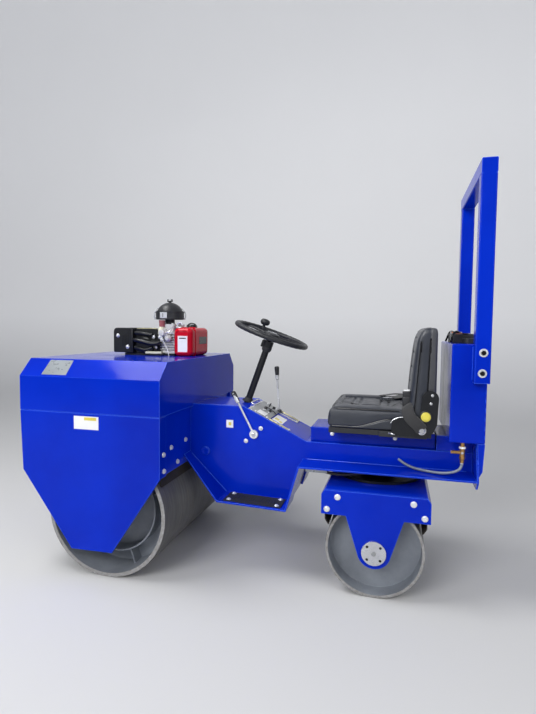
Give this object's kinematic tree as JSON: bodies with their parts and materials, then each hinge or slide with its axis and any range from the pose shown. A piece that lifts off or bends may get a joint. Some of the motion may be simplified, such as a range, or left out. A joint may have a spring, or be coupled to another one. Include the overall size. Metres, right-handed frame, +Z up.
{
  "type": "road roller",
  "caption": "Small ride-on road roller with a wide front drum under an engine box, a steered rear drum, a seat, a water tank and a roll bar.",
  "frame": {"origin": "on the floor, at the bottom centre of the bounding box, on the machine's centre line", "axes": "+X forward, towards the wide drum; +Y to the driver's left; +Z up"},
  "size_m": [2.074, 0.988, 1.83],
  "materials": {
    "body_paint": "gloss",
    "drum_steel": "ground steel",
    "zinc": "zinc plated",
    "dark_metal": "satin",
    "cast_metal": "as cast",
    "tank_red": "gloss",
    "seat_vinyl": "grained vinyl",
    "black_plastic": "satin",
    "rubber": "matt",
    "brass": "bright",
    "clear_hose": "milky",
    "rusty_steel": "rusty"
  },
  "bodies": {
    "chassis": {"bonnet": "body_paint", "side_plate_l": "body_paint", "side_plate_r": "body_paint", "front_panel": "body_paint", "rear_panel": "body_paint", "engine_bed": "body_paint", "hub_carrier_l": "cast_metal", "hub_carrier_r": "cast_metal", "front_scraper": "rusty_steel", "engine_block": "dark_metal", "cylinder_head": "cast_metal", "engine_shroud": "dark_metal", "muffler": "dark_metal", "air_cleaner": "black_plastic", "fuel_tank": "tank_red", "spine_plate_l": "body_paint", "spine_plate_r": "body_paint", "console_top": "body_paint", "belly_plate": "body_paint", "deck": "body_paint", "tray_l": "body_paint", "tray_r": "body_paint", "mats": "rubber", "dash_panel": "zinc", "steering_column": "dark_metal", "side_lever": "zinc", "drive_lever": "zinc", "seat_base": "body_paint", "seat_pan": "black_plastic", "seat_cushion": "seat_vinyl", "seat_back": "seat_vinyl", "seat_brackets": "dark_metal", "tank_stand": "body_paint", "water_tank": "body_paint", "battery": "black_plastic", "roll_bar": "body_paint", "tail_plate": "body_paint", "drain_tap": "brass", "drain_hose": "clear_hose", "deck_hose": "rubber", "slew_mount": "dark_metal", "steer_barrel": "dark_metal"},
    "front_drum": {"front_drum": "drum_steel"},
    "rear_drum": {"rear_drum": "drum_steel"},
    "steering_wheel": {"steering_wheel": "black_plastic"},
    "steer_rod": {"steer_rod": "zinc"},
    "rear_yoke": {"slew_ring": "dark_metal", "yoke_head": "body_paint", "yoke_plate_l": "body_paint", "yoke_plate_r": "body_paint", "hub_flange_l": "zinc", "hub_flange_r": "zinc", "yoke_scrapers": "rusty_steel"}
  },
  "joints": [
    {"name": "front_drum_roll", "type": "hinge", "parent": "chassis", "child": "front_drum", "pos_m": [0.6025, 0, 0.3], "axis": [0, 1, 0], "continuous": true},
    {"name": "yoke_steer", "type": "hinge", "parent": "chassis", "child": "rear_yoke", "pos_m": [-0.6025, 0, 0.46], "axis": [0, 0, 1], "range_deg": [-25, 25]},
    {"name": "rear_drum_roll", "type": "hinge", "parent": "rear_yoke", "child": "rear_drum", "pos_m": [-0.6025, 0, 0.21], "axis": [0, 1, 0], "continuous": true},
    {"name": "steering_turn", "type": "hinge", "parent": "chassis", "child": "steering_wheel", "pos_m": [0.066, 0, 0.775], "axis": [-0.3338, 0, 0.9426], "range_deg": [-400, 400]},
    {"name": "steer_rod_slide", "type": "slide", "parent": "chassis", "child": "steer_rod", "axis": [1, 0, 0], "range_m": [-0.095, 0.095]}
  ],
  "couplings": [
    {"joint": "steering_turn", "follows": "yoke_steer", "ratio": 14.4},
    {"joint": "steer_rod_slide", "follows": "yoke_steer", "m_per_rad": 0.2}
  ]
}
